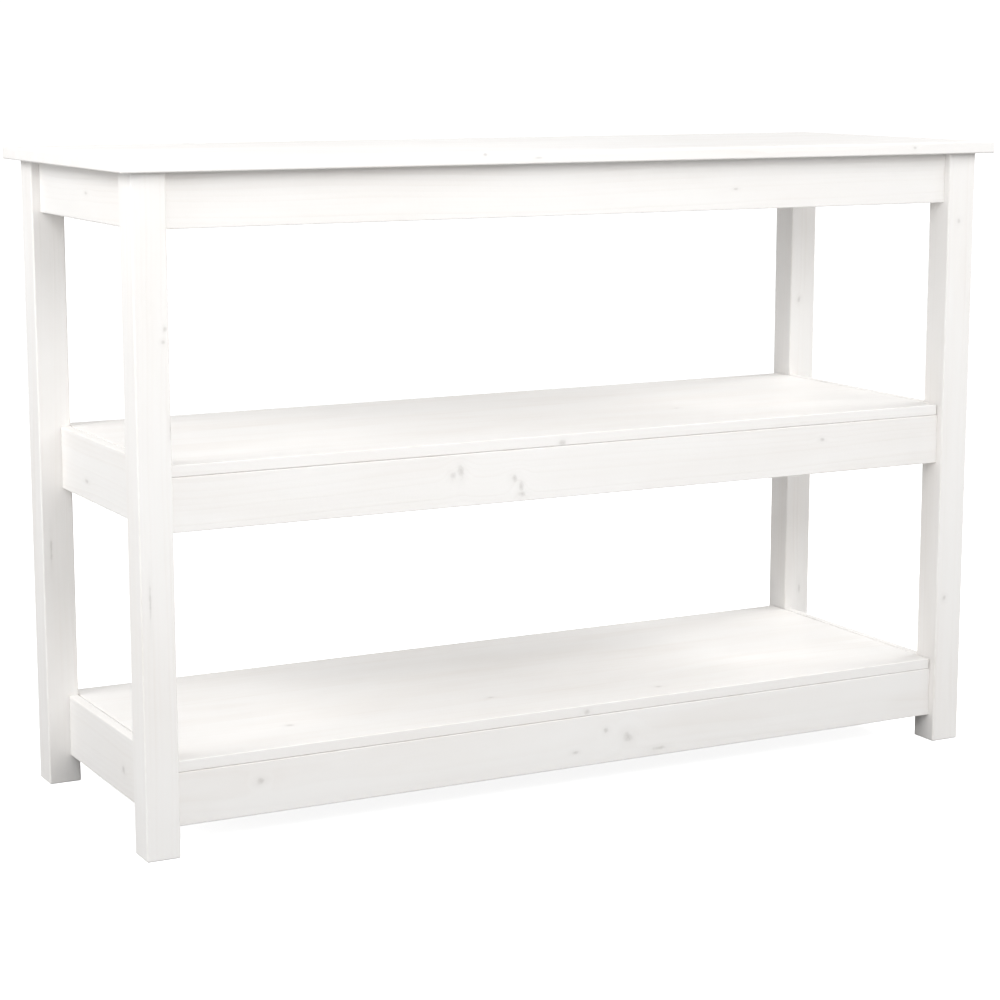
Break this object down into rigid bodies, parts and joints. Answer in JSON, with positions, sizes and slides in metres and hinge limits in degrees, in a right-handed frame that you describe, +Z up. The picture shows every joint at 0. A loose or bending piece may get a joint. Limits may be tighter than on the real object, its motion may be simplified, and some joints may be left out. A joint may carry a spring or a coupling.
{
  "type": "console table",
  "caption": "Narrow painted-pine console table with an overhanging top, square legs, and open shelves framed by aprons and side rails.",
  "frame": {"origin": "on the floor, under the middle of the tabletop", "axes": "+X along the table's length to the right, +Y from the front to the back, +Z up"},
  "size_m": [1.1, 0.4, 0.74],
  "materials": {
    "painted_pine": "white lacquer over pine, semi-matt, with knots showing faintly",
    "zinc_steel": "zinc-plated steel, satin"
  },
  "bodies": {
    "root": {"cam_bolt_low_back_left": "zinc_steel", "cam_bolt_low_back_right": "zinc_steel", "cam_bolt_low_front_left": "zinc_steel", "cam_bolt_low_front_right": "zinc_steel", "cam_bolt_mid_back_left": "zinc_steel", "cam_bolt_mid_back_right": "zinc_steel", "cam_bolt_mid_front_left": "zinc_steel", "cam_bolt_mid_front_right": "zinc_steel", "cam_bolt_top_back_left": "zinc_steel", "cam_bolt_top_back_right": "zinc_steel", "cam_bolt_top_front_left": "zinc_steel", "cam_bolt_top_front_right": "zinc_steel", "cam_disc_low_back_left": "zinc_steel", "cam_disc_low_back_right": "zinc_steel", "cam_disc_low_front_left": "zinc_steel", "cam_disc_low_front_right": "zinc_steel", "cam_disc_mid_back_left": "zinc_steel", "cam_disc_mid_back_right": "zinc_steel", "cam_disc_mid_front_left": "zinc_steel", "cam_disc_mid_front_right": "zinc_steel", "cam_disc_top_back_left": "zinc_steel", "cam_disc_top_back_right": "zinc_steel", "cam_disc_top_front_left": "zinc_steel", "cam_disc_top_front_right": "zinc_steel", "leg_back_left": "painted_pine", "leg_back_right": "painted_pine", "leg_front_left": "painted_pine", "leg_front_right": "painted_pine", "low_apron_back": "painted_pine", "low_apron_front": "painted_pine", "low_cross_rail": "painted_pine", "low_shelf_board": "painted_pine", "low_side_rail_left": "painted_pine", "low_side_rail_right": "painted_pine", "mid_apron_back": "painted_pine", "mid_apron_front": "painted_pine", "mid_cross_rail": "painted_pine", "mid_shelf_board": "painted_pine", "mid_side_rail_left": "painted_pine", "mid_side_rail_right": "painted_pine", "screw_low_back": "zinc_steel", "screw_low_front": "zinc_steel", "screw_mid_back": "zinc_steel", "screw_mid_front": "zinc_steel", "screw_top_back": "zinc_steel", "screw_top_back_left": "zinc_steel", "screw_top_back_right": "zinc_steel", "screw_top_front": "zinc_steel", "screw_top_front_left": "zinc_steel", "screw_top_front_right": "zinc_steel", "tabletop": "painted_pine", "top_apron_back": "painted_pine", "top_apron_front": "painted_pine", "top_apron_left": "painted_pine", "top_apron_right": "painted_pine", "top_cross_rail": "painted_pine"}
  },
  "joints": []
}
